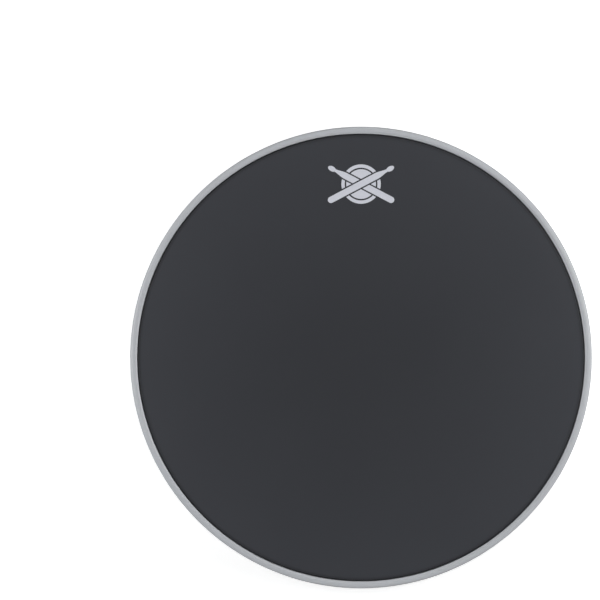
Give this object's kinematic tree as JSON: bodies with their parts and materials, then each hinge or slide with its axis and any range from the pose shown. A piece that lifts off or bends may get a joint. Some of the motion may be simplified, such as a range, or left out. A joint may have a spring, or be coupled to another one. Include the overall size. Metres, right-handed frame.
{
  "type": "practice pad",
  "caption": "Double-sided drum practice pad: a wooden core with a bonded playing surface on each face, held in a moulded rubber ring.",
  "frame": {"origin": "centre of the ring's flat foot, on the surface that the pad lies on", "axes": "+Z is the pad's axis, up through side A; +Y points to the printed emblem on side A"},
  "size_m": [0.305, 0.305, 0.027],
  "materials": {
    "rim_rubber": "satin",
    "charcoal_rubber": "matte",
    "black_cloth": "matte",
    "core_board": "matte",
    "side_a_foam": "matte",
    "side_b_foam": "matte",
    "adhesive_film": "satin"
  },
  "bodies": {
    "root": {"rim_ring": "rim_rubber", "core_board": "core_board", "side_a_playing_surface": "charcoal_rubber", "side_a_surface_adhesive": "adhesive_film", "side_a_cushion": "side_a_foam", "side_a_cushion_adhesive": "adhesive_film", "side_b_playing_surface": "black_cloth", "side_b_surface_adhesive": "adhesive_film", "side_b_cushion": "side_b_foam", "side_b_cushion_adhesive": "adhesive_film", "rim_flange_adhesive": "adhesive_film"}
  },
  "joints": []
}
